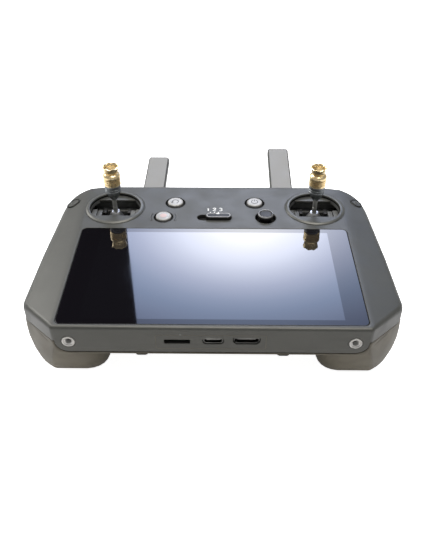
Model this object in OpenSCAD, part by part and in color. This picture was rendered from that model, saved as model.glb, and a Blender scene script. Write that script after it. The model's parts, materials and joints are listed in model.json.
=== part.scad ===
// Handheld radio transmitter controller: built-in screen, two stick gimbals, two folding antennas.
// Frame: X to the right, Y away from the user, Z out of the screen, all in millimetres.
// Z = 0 is the table under the grips. X = 0 and Y = 0 are the middle of the whole outline.
// Most places are given as v, the distance from the body's near edge, and h, the depth below its face.

/* [Overall] */
// Depth with both antennas folded out
overall_d = 203.35; // [203:0.05:204]
// Width across the two widest corners
body_w = 183.2; // [183:0.1:184]
// Height of the flat face above the table
face_z = 45.6; // [45.4:0.1:46]

/* [Shells] */
// Thickness of the shell walls
wall = 2.0; // [1.8:0.1:2.1]
// Half width of the flat part of the face
crease_x = 74.3; // [74:0.1:74.6]
// Slope of the two side wings in degrees
wing_slope = 14; // [13:0.5:15]
// Gap between the shells along their seam
seam_gap = 0.25; // [0.15:0.05:0.3]
// Depth of the seam between the shells at the sides
seam_h = 12.5; // [12.2:0.1:12.6]

/* [Screen] */
// Width of the cover glass
glass_w = 143.4; // [143:0.1:143.8]
// Depth of the cover glass
glass_d = 75.4; // [75:0.1:75.6]
// Thickness of the cover glass
glass_t = 1.1; // [1:0.05:1.2]

/* [Sticks] */
// Distance of each stick from the middle plane
stick_x = 56.8; // [56.6:0.1:57]
// Distance of the sticks from the near edge
stick_v = 98.8; // [98.6:0.1:99]
// Depth of the stick pivot below the face
pivot_h = 10; // [9.8:0.1:10.2]
// Radius of the opening round each stick
opening_r = 14.3; // [14.2:0.1:14.4]
// Radius of the upper stick grip
grip_r = 4.4; // [4.2:0.1:4.5]

/* [Antennas] */
// Distance of the left antenna from the middle plane
left_antenna_x = 41.8; // [41.7:0.1:42]
// Distance of the right antenna from the middle plane
right_antenna_x = 43.2; // [43:0.1:43.3]
// Width of an antenna blade
antenna_w = 14.5; // [14:0.1:14.6]
// Thickness of an antenna blade
antenna_t = 5.5; // [5:0.1:5.6]
// Angle to which the right antenna is raised in degrees
right_raise = 6; // [0:1:8]

/* [Threaded inserts] */
// Distance of each insert from the middle plane
insert_x = 65.9; // [65.7:0.1:66.1]
// Depth of the inserts below the face
insert_h = 8.8; // [8.7:0.1:8.9]
// Radius of the thread's core
thread_r = 1.65; // [1.6:0.05:1.7]

/* [Hidden] */
$fn = 48;
near = -overall_d / 2;
hinge_v = 131;
hinge_h = 27.7;
hinge_pin_r = 1.5;
insert_r = 3.25;
screw_r = 1.3;
shell_grey = [0.27, 0.275, 0.28];
dark_grey = [0.12, 0.12, 0.13];
steel = [0.72, 0.72, 0.7];
gold = [0.78, 0.6, 0.32];
board_green = [0.08, 0.25, 0.16];

// Part to draw

front_shell();
rear_shell();
mid_frame();
cover_glass();
display_gasket();
display_panel();
stick_bezel(-1);  // left_stick_bezel
stick_bezel(1);  // right_stick_bezel
thread_inserts();
card_socket();
usb_receptacle();
video_receptacle();
main_board();
shield_cans();
button_board();
battery_cells();
heat_sink();
fan_housing();
fan_rotor();
vent_grille();
speaker();
shell_screws();
antenna_cables();
gimbal_housing(-1);  // left_gimbal_housing
gimbal_housing(1);  // right_gimbal_housing
outer_yoke(-1);  // left_outer_yoke
outer_yoke(1);  // right_outer_yoke
stick_cradle(-1);  // left_stick_cradle
stick_cradle(1);  // right_stick_cradle
stick_shaft(-1);  // left_stick_shaft
stick_shaft(1);  // right_stick_shaft
stick_base(-1);  // left_stick_base
stick_base(1);  // right_stick_base
stick_tip(-1);  // left_stick_tip
stick_tip(1);  // right_stick_tip
antenna_pins();
antenna(-1, 0);  // left_antenna
antenna(1, right_raise);  // right_antenna
dial_pins();
dial(-1);  // left_dial
dial(1);  // right_dial
round_button(return_spot, key_hole_r);  // return_button
round_button(power_spot, key_hole_r);  // power_button
round_button(pause_spot, pause_hole_r);  // pause_button
corner_button(-1);  // back_button
corner_button(1);  // confirm_button
mode_switch();
five_way_base();
five_way_rocker();
five_way_stem();
five_way_knob();
rear_button(-1);  // left_rear_button
rear_button(1);  // right_rear_button
shoulder_button(-1);  // record_button
shoulder_button(1);  // shutter_button

// ---- Places and small helpers ----

function place(x, v, h) = [x, near + v, face_z - h];
function unit(v) = v / norm(v);
function edge_normal(p, q) = let (d = unit(q - p)) [d[1], -d[0]];
function antenna_middle(side) = side > 0 ? right_antenna_x : -left_antenna_x;
function wing_drop(x) = max(0, abs(x) - crease_x) * tan(wing_slope);

// Draws its children at x, v, h
module at(x, v, h) {
    translate(place(x, v, h)) children();
}

// A rod of radius r from depth h1 down to depth h2
module rod(x, v, h1, h2, r) {
    at(x, v, h2) cylinder(h = h2 - h1, r = r);
}

// A block between two corners given as x, v, h
module block(low, high) {
    at(low[0], low[1], high[2])
        cube([high[0] - low[0], high[1] - low[1], high[2] - low[2]]);
}

// A rod along +Y that starts at v
module rod_y(x, v, h, r, length) {
    at(x, v, h) rotate([-90, 0, 0]) cylinder(h = length, r = r);
}

// A rod along X with its middle at x
module rod_x(x, v, h, r, length) {
    at(x, v, h) rotate([0, 90, 0]) cylinder(h = length, r = r, center = true);
}

// A flat slab with rounded vertical corners, centred on x, v
module slab(x, v, h1, h2, size, r) {
    at(x, v, h2) linear_extrude(h2 - h1) rounded_rectangle(size, r);
}

module rounded_rectangle(size, r) {
    reach = size / 2 - [r, r];
    square([size[0], reach[1] * 2], center = true);
    square([reach[0] * 2, size[1]], center = true);
    for (sx = [-1, 1]) for (sy = [-1, 1]) translate([sx * reach[0], sy * reach[1]]) circle(r);
}

// The convex body through a cloud of points
module wrap(cloud) {
    hull() polyhedron(cloud, [for (i = [0 : 3 : len(cloud) - 3]) [i, i + 1, i + 2]]);
}

function both_sides(pts) = [for (p = pts) for (s = [-1, 1]) [s * p[0], p[1], p[2]]];
function padded(pts) = concat(pts, [for (i = [1 : (3 - len(pts) % 3) % 3]) pts[0]]);

// ---- Outer form shared by the two shells ----

// Right half of the plan outline as x, v and the radius of its rounded top edge
widest = body_w / 2;
half_outline = [
    [72, 0, 1.5], [73.1, 0.2, 1.5], [73.9, 0.95, 1.6], [widest - 2.7, 17, 2], [widest - 1.5, 18.5, 2],
    [widest - 0.6, 20.1, 2], [widest - 0.1, 22, 2], [widest, 24, 2], [90.4, 58, 2.2], [87.9, 96, 2.4],
    [87.4, 102.5, 2.5], [86.7, 107.3, 2.6], [85.6, 111.4, 2.8], [83.9, 114.8, 3], [81.6, 117.5, 3.2],
    [78.6, 119.7, 3.4], [74.6, 121.5, 3.7], [69.5, 122.8, 4], [64, 123.6, 4], [57, 123.9, 4]
];
outline = concat(
    half_outline,
    [for (i = [len(half_outline) - 1 : -1 : 0]) let (p = half_outline[i]) [-p[0], p[1], p[2]]]
);

function corner_normal(i) =
    let (n = len(outline), a = outline[(i + n - 1) % n], b = outline[i], c = outline[(i + 1) % n],
         u = edge_normal([a[0], a[1]], [b[0], b[1]]), w = edge_normal([b[0], b[1]], [c[0], c[1]]),
         m = unit(u + w))
    m / (m * w);

// Ring of the rounded edge at one angle round its quarter circle, for a form shrunk by t
function edge_ring(t, angle) = [
    for (i = [0 : len(outline) - 1])
        let (p = outline[i], back = t + p[2] * (1 - sin(angle)),
             q = [p[0], p[1]] - corner_normal(i) * back)
        place(q[0], q[1], t + wing_drop(q[0]) + p[2] * (1 - cos(angle)))
];

// Widening of the far side between the face's edge and the seam
function belly(t) = both_sides([
    place(87.6 - t, 106, seam_h), place(85.6 - t, 117 - t, seam_h), place(79.6 - t, 124.4 - t, seam_h),
    place(68 - t, 129.6 - t, seam_h), place(56, 131.6 - t, seam_h)
]);

// Underside between the grips
function underside(t) = both_sides([
    place(71 - t, 1.5 + t, 17.8 - t), place(60, 24, 21 - t), place(60, 122, 21 - t),
    place(widest - 2 - t, 24, 15), place(86 - t, 104, 15), place(72 - t, 0.2 + t, 16.2 - t)
]);

module core_form(t) {
    wrap(padded(concat(
        edge_ring(t, 0), edge_ring(t, 30), edge_ring(t, 60), edge_ring(t, 90),
        both_sides([place(crease_x, 4.2 + t, t), place(crease_x, 117.2 - t, t)]),
        [for (p = edge_ring(t, 90)) [p[0], p[1], face_z - seam_h]],
        belly(t), underside(t)
    )));
}

// Far ridge that carries the antennas, the dials and the shoulder buttons
module ridge_form() {
    wrap(padded(both_sides([
        place(84.9, 118, seam_h), place(84.5, 119.3, seam_h),
        place(79, 125.6, seam_h), place(67, 131, seam_h), place(56, 132.4, seam_h),
        place(84.2, 120, 17), place(79, 126.4, 17), place(66, 133.2, 17),
        place(82.6, 120.4, 21), place(77.8, 126.6, 21), place(64, 134.6, 21),
        place(77, 121, 28), place(72.6, 126.6, 28), place(62, 133.6, 28.6),
        place(69, 118, 31.4), place(65, 126, 31.8), place(56, 130.4, 31.8)
    ])));
}

// Where a grip leaves the body, the flat it stands on, and how its outer side follows the body's taper
grip_top_h = 12.4;
grip_flat = [[63.3, 72.8], [26, 84]];
function tapered(x, v, a, b) = x - 0.053 * max(0, v - 24) * max(0, x - a) / (b - a);

// Share of a grip's full reach that is left at s of its depth, falling along a superellipse
function reach(s, power) = pow(max(0, 1 - pow(s, power)), 1 / power);

// A corner as a smooth curve from p to q: q's x and p's y meet at the sharp corner
function corner_curve(p, q, softness, steps) =
    let (m = [p[0] + (q[0] - p[0]) * softness[0], p[1] + (q[1] - p[1]) * softness[1]])
    [for (i = [0 : steps]) let (k = i / steps) p * pow(1 - k, 2) + m * 2 * k * (1 - k) + q * k * k];

// One level of a grip at s of its depth, shrunk by t: a box in plan with four curved corners
function grip_ring(side, t, s, steps) =
    let (
        a = grip_flat[0][0] - 12.5 * reach(s, 3.5) + t,
        b = grip_flat[0][1] + 18.7 * reach(s, 2.5) - t,
        c = grip_flat[1][0] - 25.7 * reach(s, 1.9) + t,
        d = grip_flat[1][1] + 36.5 * reach(s, 2) - t,
        cut = 5 + 14.7 * reach(s, 1.2),
        soft = 4.6 + 8 * reach(s, 2),
        bulge = 0.72 - 0.31 * reach(s, 1.5)
    )
    [for (q = concat(
        corner_curve([a, c + soft], [a + soft, c], [0.1, 0.9], steps),
        corner_curve([b - cut * 0.93, c], [b, c + cut * 1.05], [bulge + 0.18, 0.92 - bulge], steps),
        corner_curve([b, d - cut * 0.8], [b - cut * 0.8, d], [0.15, 0.85], steps),
        corner_curve([a + soft, d], [a, d - soft], [0.9, 0.1], steps)
    )) place(side * tapered(q[0], q[1], a, b), q[1], grip_top_h + (face_z - t - grip_top_h) * s)];

module grip_form(side, t, levels, steps) {
    wrap(padded([for (i = [0 : levels]) for (p = grip_ring(side, t, sin(90 * i / levels), steps)) p]));
}

// Everything below the seam: flat at the sides, rising to the near corners, stepping round the inserts
apron_r = 6.3;
module below_seam(gap) {
    corner = [73, 0];
    run = [widest, 20] - corner;
    difference() {
        union() {
            block([-100, -5, seam_h], [100, 150, 60]);
            for (s = [-1, 1]) scale([s, 1, 1]) at(corner[0], corner[1], 0)
                rotate([0, 0, atan2(run[1], run[0])]) translate([0, 3.2, 0])
                rotate([90, 0, 0]) linear_extrude(6)
                polygon([[-2, -7.8], [norm(run), -seam_h], [norm(run), -seam_h - 1], [-2, -seam_h - 1]]);
        }
        for (s = [-1, 1]) rod_y(s * insert_x, -1, insert_h, apron_r + gap, 3.3);
        block([-insert_x, -1, 0], [insert_x, 2.3, insert_h + apron_r + gap]);
        block([-insert_x - apron_r - gap, -1, 0], [insert_x + apron_r + gap, 2.3, insert_h]);
    }
}

// ---- Shells ----

return_spot = [-22.7, 103.8];
power_spot = [22.8, 103.9];
pause_spot = [-28.5, 89.3];
five_way_spot = [28.5, 89.2];
key_hole_r = 5.6;
pause_hole_r = 5.35;
five_way_hole_r = 5.85;
slot_size = [19.4, 5.6];
slot_v = 89;
port_h = 7.8;
card_h = 8.3;
screw_spots_near = [[-38, 9], [38, 9]];
screw_spots_far = [[-30, 114], [30, 114]];
frame_clear = 0.3;
glass_v = 2.75 + glass_d / 2;
window = [glass_w - 3.6, glass_d - 3.6];

module front_shell() color(shell_grey) difference() {
    union() {
        difference() {
            core_form(0);
            core_form(wall);
            below_seam(0);
        }
        block([-73.2, 1, 1], [73.2, 79.8, 3.2]);
        for (s = [-1, 1]) rod_y(s * insert_x, 1, insert_h, 4.6, 8.2);
        for (p = screw_spots_far) rod(p[0], p[1], 1.5, 9, 3);
    }
    slab(0, glass_v, -1, glass_t + frame_clear, [glass_w + 0.5, glass_d + 0.5], 2.8);
    slab(0, glass_v, 0, 5, window, 1.5);
    for (s = [-1, 1]) {
        rod(s * stick_x, stick_v, -2, 5, 15.3);
        rod_y(s * insert_x, -1, insert_h, insert_r, 9);
        corner_spot(s) corner_shape(s, 0.25, 8, -3);
        corner_spot(s) corner_shape(s, 0.75, 3, -5.2);
    }
    for (p = [return_spot, power_spot]) rod(p[0], p[1], -1, 4, key_hole_r);
    rod(pause_spot[0], pause_spot[1], -1, 4, pause_hole_r);
    rod(five_way_spot[0], five_way_spot[1], -1, 4, five_way_hole_r);
    slab(0, slot_v, -1, 4, slot_size, slot_size[1] / 2 - 0.01);
    for (p = screw_spots_far) rod(p[0], p[1], 4, 10, screw_r);
    port_cutouts();
}

// Openings in the front wall for the card, the cable and the video plug
module port_cutouts() {
    at(-15.9, -1, card_h) front_extrude(4) rounded_rectangle([12, 2.5], 0.5);
    at(0.7, -1, port_h) front_extrude(4) rounded_rectangle([9.9, 3.9], 1.9);
    at(16, -1, port_h) front_extrude(4) video_outline(0.4);
}

module front_extrude(length) {
    translate([0, length, 0]) rotate([90, 0, 0]) linear_extrude(length) children();
}

// Mouth of the video port: wide above, with tapered lower corners
module video_outline(grow) {
    w = 5.9 + grow;
    d = 1.6 + grow;
    polygon([[-w, d], [-w, -d * 0.2], [-w + 1.5, -d], [w - 1.5, -d], [w, -d * 0.2], [w, d]]);
}

module rear_shell() color(shell_grey) difference() {
    union() {
        difference() {
            intersection() {
                union() {
                    core_form(0);
                    ridge_form();
                    grip_form(-1, 0, 9, 5);
                    grip_form(1, 0, 9, 5);
                }
                translate([0, 0, -seam_gap]) below_seam(seam_gap);
            }
            difference() {
                union() {
                    core_form(wall);
                    grip_form(-1, wall + 0.2, 4, 2);
                    grip_form(1, wall + 0.2, 4, 2);
                    block([-58, 116, 10], [58, 130, 18.8]);
                    block([-58, 120.4, 10], [58, 130, 28]);
                    block([-70, 120.4, 10], [70, 124.5, 24]);
                }
                for (s = [-1, 1]) antenna_notch(s, 1.8);
            }
        }
        for (p = screw_spots_near) rod(p[0], p[1], 9.1, 17, 3.4);
        for (p = screw_spots_far) rod(p[0], p[1], 9.1, 20, 3.4);
        for (s = [-1, 1]) rod(s * dial_x, dial_v, 20.9, 29, 3);
    }
    for (s = [-1, 1]) {
        antenna_notch(s, 0);
        rod_x(antenna_middle(s), hinge_v, hinge_h, hinge_pin_r, 20);
        rod(s * dial_x, dial_v, dial_h1 - 0.4, dial_h2 + 0.4, dial_r + 0.6);
        rod(s * dial_x, dial_v, 14, 26, dial_pin_r);
        rod(s * rear_button_x, rear_button_v, 17, 23, 5.3);
        shoulder_spot(s) translate([0, 0, -6.8]) cylinder(h = 12.8, r = 4.5);
    }
    for (p = screw_spots_near) screw_hole(p, 14.6);
    for (p = screw_spots_far) screw_hole(p, 16.5);
    slab(0, fan_v, 17, 23, [30, 30], 2);
    for (i = [-2 : 2]) rod(i * 3.4, speaker_v, 17, 23, 0.8);
}

// Through hole with a counterbore for the head, which bears at depth h
module screw_hole(p, h) {
    rod(p[0], p[1], 5, 24, 1.6);
    rod(p[0], p[1], h, 24, 2.9);
}

// Room for the antenna knuckle, and for the blade folded flat under the body
module antenna_notch(side, grow) {
    half = antenna_w / 2 + 0.45 + grow;
    x = antenna_middle(side);
    block([x - half, hinge_v - 4.6 - grow, seam_h + 0.1], [x + half, 141, 40]);
    block([x - half, 112 - grow, 21.3 - grow * 0.6], [x + half, 141, 40]);
}

module mid_frame() color(steel) difference() {
    union() {
        block([-70.5, 3.2, 4.4], [70.5, 79.2, 5.6]);
        for (p = screw_spots_near) rod(p[0], p[1], 5, 9, 3);
    }
    for (s = [-1, 1]) block([min(s * 60, s * 72), 0, 4], [max(s * 60, s * 72), 10, 6]);
    for (p = screw_spots_near) rod(p[0], p[1], 4, 10, screw_r);
    for (s = [-1, 1]) slab(s * 52, 45, 4, 6, [22, 50], 3);
}

// ---- Screen ----

module cover_glass() color([0.02, 0.02, 0.03])
    slab(0, glass_v, 0, glass_t, [glass_w, glass_d], 2.5);

module display_gasket() color(dark_grey) difference() {
    slab(0, glass_v, glass_t, glass_t + frame_clear, [glass_w, glass_d], 2.5);
    slab(0, glass_v, 0, 3, window, 1.5);
}

module display_panel() color([0.1, 0.1, 0.14])
    slab(0, glass_v, glass_t, 3.2, [125.2, 71], 0.6);

// ---- Stick units ----

module stick_bezel(side) color(shell_grey) at(side * stick_x, stick_v, 0)
    rotate_extrude() polygon([
        [opening_r, -2.2], [15.2, -2.2], [15.2, 0], [16.85, 0], [16.6, 0.45], [15.9, 0.85],
        [15, 0.85], [14.5, 0.5], [opening_r, 0]
    ]);

// Gimbal parts are drawn about the pivot of their side
module at_pivot(side) {
    at(side * stick_x, stick_v, pivot_h) children();
}

housing_half = [17.6, 15.6];
bearing_r = 1.55;
trunnion_r = 1.5;

module gimbal_housing(side) color(dark_grey) at_pivot(side) difference() {
    translate([-housing_half[0], -housing_half[1], -8])
        cube([housing_half[0] * 2, housing_half[1] * 2, 14.6]);
    translate([-15.1, -14.2, -7.2]) cube([30.2, 28.4, 20]);
    rotate([0, 90, 0]) cylinder(h = 50, r = bearing_r, center = true);
}

module outer_yoke(side) color(steel) at_pivot(side) difference() {
    union() {
        cube([26.8, 24, 3.6], center = true);
        rotate([0, 90, 0]) cylinder(h = 34.8, r = trunnion_r, center = true);
        rotate([0, 90, 0]) cylinder(h = 29.8, r = 3.2, center = true);
    }
    cube([19.2, 16.8, 8], center = true);
    rotate([90, 0, 0]) cylinder(h = 30, r = 1.3, center = true);
}

module stick_cradle(side) color(steel) at_pivot(side) difference() {
    union() {
        rotate([90, 0, 0]) cylinder(h = 23.2, r = 1.25, center = true);
        rotate([90, 0, 0]) cylinder(h = 15.8, r = 2, center = true);
        rotate_extrude() polygon([[0, -2.5], [4.6, -2.5], [4.6, 3.6], [2.2, 7.6], [0, 7.6]]);
    }
    translate([0, 0, 1]) cylinder(h = 10, r = 1.3);
}

module stick_shaft(side) color(steel)
    rod(side * stick_x, stick_v, -7.5, pivot_h - 1, 1.3);

module stick_base(side) color(dark_grey) at(side * stick_x, stick_v, 0)
    rotate_extrude() polygon([
        [0, 7.5], [1.3, 7.5], [1.3, 6], [1.7, 6], [grip_r, 11], [grip_r, 15.3], [2, 15.3],
        [2, 18], [0, 18]
    ]);

module stick_tip(side) color(gold) at(side * stick_x, stick_v, 0) difference() {
    rotate_extrude() polygon([
        [2, 15.3], [grip_r - 0.3, 15.3], [grip_r, 15.7], [grip_r, 21.8], [3.9, 22.4], [3.3, 23.2],
        [3.3, 23.8], [3.95, 25], [3.8, 27.5], [2.9, 27.5], [2.2, 25.4], [0, 25.4], [0, 18], [2, 18]
    ]);
    for (i = [0 : 3]) rotate([0, 0, 22.5 + 45 * i]) translate([-6, -0.45, 26]) cube([12, 0.9, 3]);
}

// ---- Antennas ----

module antenna(side, raise) color(shell_grey)
    at(antenna_middle(side), hinge_v, hinge_h) rotate([raise, 0, 0]) difference() {
        union() {
            rotate([0, 90, 0]) cylinder(h = antenna_w, r = 4, center = true);
            intersection() {
                rotate([-90, 0, 0]) linear_extrude(72.35) blade_section();
                translate([0, 0, -5]) linear_extrude(10) blade_plan();
            }
        }
        rotate([0, 90, 0]) cylinder(h = 30, r = hinge_pin_r + 0.05, center = true);
    }

module blade_section() {
    w = antenna_w / 2;
    d = antenna_t / 2;
    cut = 0.9;
    polygon([[-w, -d + cut], [-w + cut, -d], [w - cut, -d], [w, -d + cut],
             [w, d - cut], [w - cut, d], [-w + cut, d], [-w, d - cut]]);
}

module blade_plan() {
    w = antenna_w / 2;
    polygon([[-w, 0], [w, 0], [w, 71.25], [w - 1.1, 72.35], [-w + 1.1, 72.35], [-w, 71.25]]);
}

module antenna_pins() color(steel)
    for (s = [-1, 1]) rod_x(antenna_middle(s), hinge_v, hinge_h, hinge_pin_r, 19.6);

// ---- Dials and shoulder buttons ----

dial_x = 62.5;
dial_v = 129.4;
dial_r = 8;
dial_h1 = 14.4;
dial_h2 = 20.2;
dial_pin_r = 1.2;

module dial_pins() color(steel)
    for (s = [-1, 1]) rod(s * dial_x, dial_v, dial_h1, 26, dial_pin_r);

// A finger wheel with a ribbed rim
module dial(side) color(dark_grey) at(side * dial_x, dial_v, dial_h2) difference() {
    rotate_extrude() polygon([
        [dial_pin_r + 0.05, 0], [dial_r - 0.6, 0], [dial_r, 0.6], [dial_r, 5.2],
        [dial_r - 0.6, 5.8], [dial_pin_r + 0.05, 5.8]
    ]);
    for (i = [0 : 17]) rotate([0, 0, 20 * i + 10]) translate([dial_r + 0.25, 0, -1]) cylinder(h = 8, r = 0.6);
}

// The axis of a shoulder button points out of the far corner
module shoulder_spot(side) {
    at(side * 81.5, 123, 18.2) rotate([0, 0, side > 0 ? 39 : 141]) rotate([0, 90, 0]) children();
}

module shoulder_button(side) color(dark_grey) shoulder_spot(side)
    rotate_extrude() polygon([[0, -5], [4.2, -5], [4.2, 1], [3.8, 1.5], [0, 1.8]]);

// ---- Buttons on the face ----

module round_button(spot, hole_r) color([0.75, 0.75, 0.74]) at(spot[0], spot[1], 0)
    rotate_extrude() polygon([
        [0, -5], [2, -5], [2, -3], [hole_r + 0.8, -3], [hole_r + 0.8, -2.2], [hole_r - 0.3, -2.2],
        [hole_r - 0.3, -0.3], [4.35, -0.1], [4.3, 0.4], [3.7, 0.8], [0, 1]
    ]);

// Buttons on the wings sit square to the sloped surface
confirm_spot = [82, 107];
back_spot = [-82.2, 105.4];
module corner_spot(side) {
    spot = side > 0 ? confirm_spot : back_spot;
    at(spot[0], spot[1], wing_drop(spot[0])) rotate([0, side * wing_slope, 0]) children();
}

// Long oval on the left, round on the right
module corner_shape(side, grow, up, down) {
    reach = side > 0 ? 0.6 : 1.3;
    translate([0, 0, down]) rotate([0, 0, side * -52]) {
        for (s = [-1, 1]) translate([s * reach, 0, 0]) cylinder(h = up, r = 2.9 + grow);
        translate([-reach, -2.9 - grow, 0]) cube([reach * 2, 5.8 + grow * 2, up]);
    }
}

module corner_button(side) color(shell_grey) corner_spot(side) {
    corner_shape(side, 0, 2.8, -2.5);
    corner_shape(side, 0.5, 0.8, -3.3);
}

switch_rest = 2.2;
module mode_switch() color(dark_grey) {
    slab(switch_rest, slot_v, -1.7, 2.4, [14.3, 4.8], 2.3);
    slab(switch_rest, slot_v, 2.3, 3.1, [23.6, 7.4], 1);
}

// ---- Five-way knob: a rocker tilts in a fixed base, the stem tilts in the rocker, the knob slides on it ----

five_way_h = 8.5;
module at_five_way() {
    at(five_way_spot[0], five_way_spot[1], five_way_h) children();
}

module five_way_base() color(dark_grey) at_five_way() difference() {
    translate([-5.6, -5.6, -4]) cube([11.2, 11.2, 5.4]);
    translate([-4.4, -4.4, -3]) cube([8.8, 8.8, 6]);
    rotate([0, 90, 0]) cylinder(h = 14, r = 0.75, center = true);
}

module five_way_rocker() color(steel) at_five_way() difference() {
    union() {
        translate([0, 0, -0.9]) cylinder(h = 1.8, r = 3.9);
        rotate([0, 90, 0]) cylinder(h = 11, r = 0.7, center = true);
    }
    cylinder(h = 4, r = 2.6, center = true);
    rotate([90, 0, 0]) cylinder(h = 14, r = 0.65, center = true);
}

module five_way_stem() color(steel) at_five_way() {
    translate([0, 0, -1.5]) cylinder(h = 10.3, r = 1.5);
    rotate([90, 0, 0]) cylinder(h = 7.2, r = 0.6, center = true);
}

module five_way_knob() color(dark_grey) at(five_way_spot[0], five_way_spot[1], 0) difference() {
    rotate_extrude() polygon([
        [0, -1.4], [4.2, -1.4], [4.2, 0.6], [4.45, 0.9], [4.45, 1.9], [3.5, 2.8], [0, 2.9]
    ]);
    translate([0, 0, -3]) cylinder(h = 4, r = 1.55);
}

// ---- Buttons on the back ----

rear_button_x = 28;
rear_button_v = 98;
module rear_button(side) color(dark_grey) at(side * rear_button_x, rear_button_v, 0)
    rotate_extrude() polygon([
        [0, -22.1], [4.5, -22.1], [5, -21.7], [5, -18.9], [6.2, -18.9], [6.2, -18.1], [0, -18.1]
    ]);

// ---- Parts inside ----

fan_v = 42;
speaker_v = 72;

module thread_inserts() color(steel) for (s = [-1, 1]) difference() {
    rod_y(s * insert_x, -0.15, insert_h, insert_r, 8.15);
    rod_y(s * insert_x, -1, insert_h, thread_r, 8);
}

module card_socket() color(steel) difference() {
    block([-22.9, 2.2, card_h - 1.6], [-8.9, 16.5, card_h + 1.25]);
    block([-21.6, 1, card_h - 1.1], [-10.2, 14, card_h + 0.9]);
}

module usb_receptacle() color(steel) {
    difference() {
        at(0.7, 0.4, port_h) front_extrude(7.4) rounded_rectangle([9, 3.1], 1.5);
        at(0.7, 0, port_h) front_extrude(6.8) rounded_rectangle([8.4, 2.5], 1.2);
    }
    block([-2.6, 1.2, port_h - 0.35], [4, 7, port_h + 0.35]);
}

module video_receptacle() color(steel) {
    difference() {
        at(16, 0.4, port_h) front_extrude(8) video_outline(0);
        at(16, 0, port_h) front_extrude(7.4) video_outline(-0.35);
    }
    block([11.8, 1.4, port_h - 0.4], [20.2, 8, port_h + 0.3]);
}

module main_board() color(board_green) difference() {
    block([-44, 3, 9.6], [44, 69, 11.2]);
    for (p = screw_spots_near) rod(p[0], p[1], 9, 12, 3.8);
}

module shield_cans() color(steel) {
    block([-40, 18, 7.4], [-6, 50, 9.6]);
    block([4, 18, 7.4], [38, 42, 9.6]);
}

module button_board() color(board_green) difference() {
    block([-37, 83, 6], [37, 109.6, 7]);
    at_five_way() cube([11.6, 11.6, 6], center = true);
}

module battery_cells() color([0.2, 0.3, 0.55])
    for (s = [-1, 1]) rod_y(s * 71, 24, 31, 8.8, 65);

module heat_sink() color(steel) {
    block([-22, fan_v - 20, 11.2], [22, fan_v + 20, 12.2]);
    for (x = [-21 : 6 : 21]) block([x - 0.4, fan_v + 16.2, 12], [x + 0.4, fan_v + 20, 17]);
}

module fan_housing() color(dark_grey) {
    difference() {
        slab(0, fan_v, 12.4, 18.9, [32, 32], 2);
        rod(0, fan_v, 13.2, 20, 14.2);
    }
    rod(0, fan_v, 13, 17.6, 1);
}

module fan_rotor() color(dark_grey) {
    difference() {
        rod(0, fan_v, 13.6, 18.4, 6);
        rod(0, fan_v, 13, 19, 1.05);
    }
    for (i = [0 : 6]) at(0, fan_v, 18.2) rotate([0, 0, i * 360 / 7])
        translate([5.6, -0.4, 0]) rotate([0, 0, 12]) cube([7.8, 0.8, 4.2]);
}

module vent_grille() color(dark_grey) difference() {
    slab(0, fan_v, 19.1, 20.8, [29.8, 29.8], 1.9);
    for (i = [-4 : 4]) slab(i * 3, fan_v, 18, 22, [1.6, 25], 0.7);
}

module speaker() color(dark_grey)
    slab(0, speaker_v, 14.8, 18.9, [26, 14], 2);

module shell_screws() color(steel) {
    for (p = screw_spots_near) cap_screw(p, 14.6);
    for (p = screw_spots_far) cap_screw(p, 16.5);
}

module cap_screw(p, h) difference() {
    union() {
        rod(p[0], p[1], 5.8, h, screw_r);
        rod(p[0], p[1], h, h + 1.6, 2.6);
    }
    at(p[0], p[1], h + 2) cylinder(h = 1.4, r = 1.1, $fn = 6);
}

module antenna_cables() color(dark_grey)
    for (s = [-1, 1]) rod_y(s * 36.6, 69, 14, 0.6, 55);
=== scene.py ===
"""Looks of the radio transmitter controller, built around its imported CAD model."""

import json
import math

import bmesh
import bpy
from mathutils import Matrix, Vector


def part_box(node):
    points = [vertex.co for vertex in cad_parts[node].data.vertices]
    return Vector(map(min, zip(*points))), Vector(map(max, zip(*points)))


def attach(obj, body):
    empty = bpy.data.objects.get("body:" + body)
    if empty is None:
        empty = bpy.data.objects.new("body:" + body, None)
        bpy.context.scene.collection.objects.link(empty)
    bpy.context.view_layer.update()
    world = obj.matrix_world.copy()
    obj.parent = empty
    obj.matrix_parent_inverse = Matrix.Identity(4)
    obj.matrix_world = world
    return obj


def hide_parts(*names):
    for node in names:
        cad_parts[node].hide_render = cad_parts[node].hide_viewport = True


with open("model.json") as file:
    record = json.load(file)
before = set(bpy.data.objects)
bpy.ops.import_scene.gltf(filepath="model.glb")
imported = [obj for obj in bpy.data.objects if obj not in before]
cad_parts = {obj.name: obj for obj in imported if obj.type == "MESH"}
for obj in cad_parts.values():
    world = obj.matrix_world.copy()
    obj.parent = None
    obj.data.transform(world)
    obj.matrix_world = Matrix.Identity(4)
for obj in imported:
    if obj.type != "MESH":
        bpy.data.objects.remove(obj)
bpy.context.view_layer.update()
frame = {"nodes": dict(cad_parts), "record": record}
MM = 0.001
nodes = frame["nodes"]


def corner(name, low=True):
    """One corner of a CAD node's box, in millimetres."""
    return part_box(name)[0 if low else 1] / MM


def middle(name):
    """The middle of a CAD node's box, in millimetres."""
    return (corner(name) + corner(name, False)) / 2


GLASS_LOW, GLASS_HIGH = corner("cover_glass"), corner("cover_glass", False)
FACE_Z = GLASS_HIGH.z
NEAR_Y = corner("front_shell").y
SIDES = ("left", "right")


# ---- Materials -------------------------------------------------------------------------------


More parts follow.
